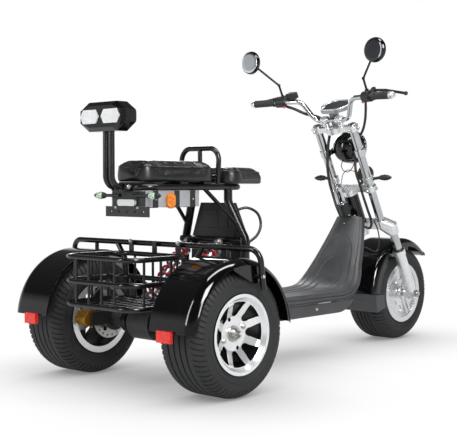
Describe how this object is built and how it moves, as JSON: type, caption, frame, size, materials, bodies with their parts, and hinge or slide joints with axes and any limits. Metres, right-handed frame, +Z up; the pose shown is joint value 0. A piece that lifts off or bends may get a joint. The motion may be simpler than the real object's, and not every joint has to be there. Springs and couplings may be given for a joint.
{
  "type": "three-wheeled electric scooter",
  "caption": "Low step-through electric trike scooter with fat tyres, a raked telescopic fork, a seat for driver and passenger, and a wire basket over the rear axle.",
  "frame": {"origin": "on the ground, under the middle of the vehicle's length and width", "axes": "+X forward in the direction of travel, +Y to the rider's left, +Z up"},
  "size_m": [2.1667, 1.0378, 1.3627],
  "materials": {
    "black_steel": "gloss black powder coat",
    "black_gloss": "gloss black moulding",
    "deck_plastic": "matte dark grey moulding",
    "dark_plastic": "matte black moulding",
    "grey_plastic": "light grey moulding",
    "seat_leather": "black quilted cover",
    "silver_plate": "satin steel plate",
    "clear_lens": "clear lens",
    "amber": "amber reflector",
    "red_reflector": "red reflector",
    "cast_dark": "black painted casting",
    "gold": "gold anodised casting",
    "damper": "satin aluminium",
    "red_spring": "red powder coat",
    "cast_silver": "silver painted casting",
    "chrome": "bright chrome plate",
    "polished_alloy": "machined and polished alloy",
    "bright_steel": "zinc plated steel",
    "tyre": "moulded tyre rubber",
    "soft_rubber": "soft moulded rubber",
    "dash_plastic": "silver grey moulding"
  },
  "bodies": {
    "chassis": {"main_frame": "black_steel", "seat_frame": "black_steel", "deck_tray": "deck_plastic", "footboard": "deck_plastic", "key_lock": "dark_plastic", "controller_box": "dark_plastic", "seat_box": "grey_plastic", "seat_front": "seat_leather", "seat_rear": "seat_leather", "grab_hoop": "black_steel", "backrest_posts": "black_steel", "backrest_shell": "black_gloss", "backrest_pad": "seat_leather", "backrest_plates": "silver_plate", "tail_bracket": "black_steel", "tail_lens": "clear_lens", "rear_indicators": "dark_plastic", "side_reflectors": "amber", "rear_reflectors": "red_reflector", "rear_fender_left": "black_gloss", "rear_fender_right": "black_gloss", "fender_bar": "black_steel", "basket": "black_steel", "rear_axle": "cast_dark", "drive_motor": "cast_dark", "rear_calipers": "gold", "swing_arm": "black_steel", "shock_absorbers": "damper", "shock_springs": "red_spring"},
    "steering": {"fork_bridge": "cast_silver", "yokes": "cast_silver", "fork_tubes": "chrome", "fork_sliders": "cast_silver", "front_axle": "bright_steel", "front_caliper": "cast_dark", "front_fender": "black_gloss", "mud_flap": "soft_rubber", "handlebar": "chrome", "grips": "soft_rubber", "switch_pods": "dark_plastic", "brake_levers": "dark_plastic", "mirrors": "black_gloss", "headlamp": "black_gloss", "headlamp_lens": "clear_lens", "front_indicators": "dark_plastic", "dashboard": "dash_plastic", "horn": "dark_plastic"},
    "front_wheel": {"front_tyre": "tyre", "front_rim": "polished_alloy"},
    "rear_left_wheel": {"rear_tyre_left": "tyre", "rear_rim_left": "polished_alloy", "rear_hub_left": "bright_steel"},
    "rear_right_wheel": {"rear_tyre_right": "tyre", "rear_rim_right": "polished_alloy", "rear_hub_right": "bright_steel"}
  },
  "joints": [
    {"name": "steering_turn", "type": "hinge", "parent": "chassis", "child": "steering", "pos_m": [0.51361, 0, 0.62769], "axis": [-0.4695, 0, 0.8829], "range_deg": [-40, 40]},
    {"name": "front_wheel_spin", "type": "hinge", "parent": "steering", "child": "front_wheel", "pos_m": [0.77869, 0, 0.225], "axis": [0, 1, 0], "continuous": true},
    {"name": "rear_left_spin", "type": "hinge", "parent": "chassis", "child": "rear_left_wheel", "pos_m": [-0.80431, 0, 0.225], "axis": [0, 1, 0], "continuous": true},
    {"name": "rear_right_spin", "type": "hinge", "parent": "chassis", "child": "rear_right_wheel", "pos_m": [-0.80431, 0, 0.225], "axis": [0, 1, 0], "continuous": true}
  ]
}
